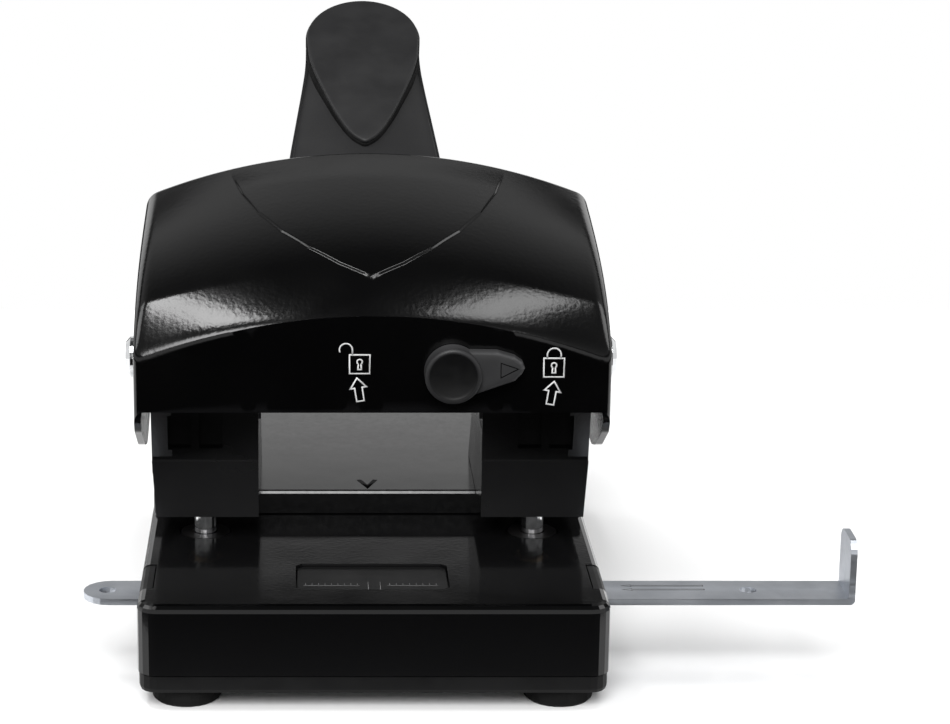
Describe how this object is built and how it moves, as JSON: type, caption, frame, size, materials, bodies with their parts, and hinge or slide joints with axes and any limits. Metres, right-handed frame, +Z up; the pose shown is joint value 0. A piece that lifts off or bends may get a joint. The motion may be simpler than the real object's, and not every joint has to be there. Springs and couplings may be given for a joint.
{
  "type": "hole punch",
  "caption": "Heavy duty desk hole punch with a hinged lever hood, punch pins guided in towers, lock knob, sliding paper arm and opening chip tray.",
  "frame": {"origin": "in the flat underside of the chip tray, midway between the side walls and straight below the line of the punch pins; the feet reach 4 mm below it", "axes": "+X to the user's right along the line of the pins, +Y from the front edge to the rear, +Z up"},
  "size_m": [0.1788, 0.1716, 0.1404],
  "materials": {
    "gloss_black": "gloss",
    "cast_black": "satin",
    "deck_black": "gloss",
    "tray_black": "satin",
    "rubber": "matte",
    "steel": "satin",
    "dark_steel": "satin",
    "bronze": "satin",
    "bright": "polished"
  },
  "bodies": {
    "base": {"base_shell": "gloss_black", "rear_deck": "deck_black", "tower_left": "cast_black", "tower_right": "cast_black", "guide_bush_left": "bronze", "guide_bush_right": "bronze", "die_left": "dark_steel", "die_right": "dark_steel", "return_spring_left": "steel", "return_spring_right": "steel", "format_indicator": "tray_black", "arm_guide_left": "tray_black", "arm_guide_right": "tray_black", "tower_screw_1": "steel", "tower_screw_2": "steel", "tower_screw_3": "steel", "tower_screw_4": "steel", "pivot_rivet_left": "bright", "pivot_rivet_right": "bright", "tray_hinge_pin_left": "steel", "tray_hinge_pin_right": "steel"},
    "handle": {"hood": "gloss_black", "lever": "cast_black", "grip_pad": "rubber", "cross_shaft": "steel", "rear_stay": "steel", "press_roller_left": "dark_steel", "press_roller_right": "dark_steel", "roller_clip_left": "steel", "roller_clip_right": "steel"},
    "carriage": {"press_bar": "dark_steel", "punch_pin_left": "bright", "punch_pin_right": "bright", "pin_clip_left": "steel", "pin_clip_right": "steel"},
    "knob": {"lock_knob": "tray_black", "lock_spindle": "steel", "lock_catch": "steel"},
    "guide_arm": {"paper_arm": "steel"},
    "tray": {"chip_tray": "tray_black", "foot_front_left": "rubber", "foot_front_right": "rubber", "foot_rear_left": "rubber", "foot_rear_right": "rubber"}
  },
  "joints": [
    {"name": "handle_hinge", "type": "hinge", "parent": "base", "child": "handle", "pos_m": [0, -0.008, 0.0678], "axis": [1, 0, 0], "range_deg": [0, 34]},
    {"name": "carriage_slide", "type": "slide", "parent": "base", "child": "carriage", "axis": [0, 0, 1], "range_m": [0, 0.0093], "deforming": ["return_spring_left", "return_spring_right"]},
    {"name": "knob_turn", "type": "hinge", "parent": "handle", "child": "knob", "pos_m": [0.0185, -0.025, 0.0689], "axis": [0, -1, 0], "range_deg": [0, 180]},
    {"name": "arm_slide", "type": "slide", "parent": "base", "child": "guide_arm", "axis": [1, 0, 0], "range_m": [-0.05, 0.0385]},
    {"name": "tray_hinge", "type": "hinge", "parent": "base", "child": "tray", "pos_m": [0, 0.0892, 0.0043], "axis": [1, 0, 0], "range_deg": [0, 35]}
  ],
  "couplings": [
    {"joint": "carriage_slide", "follows": "handle_hinge", "m_per_rad": 0.01555}
  ]
}
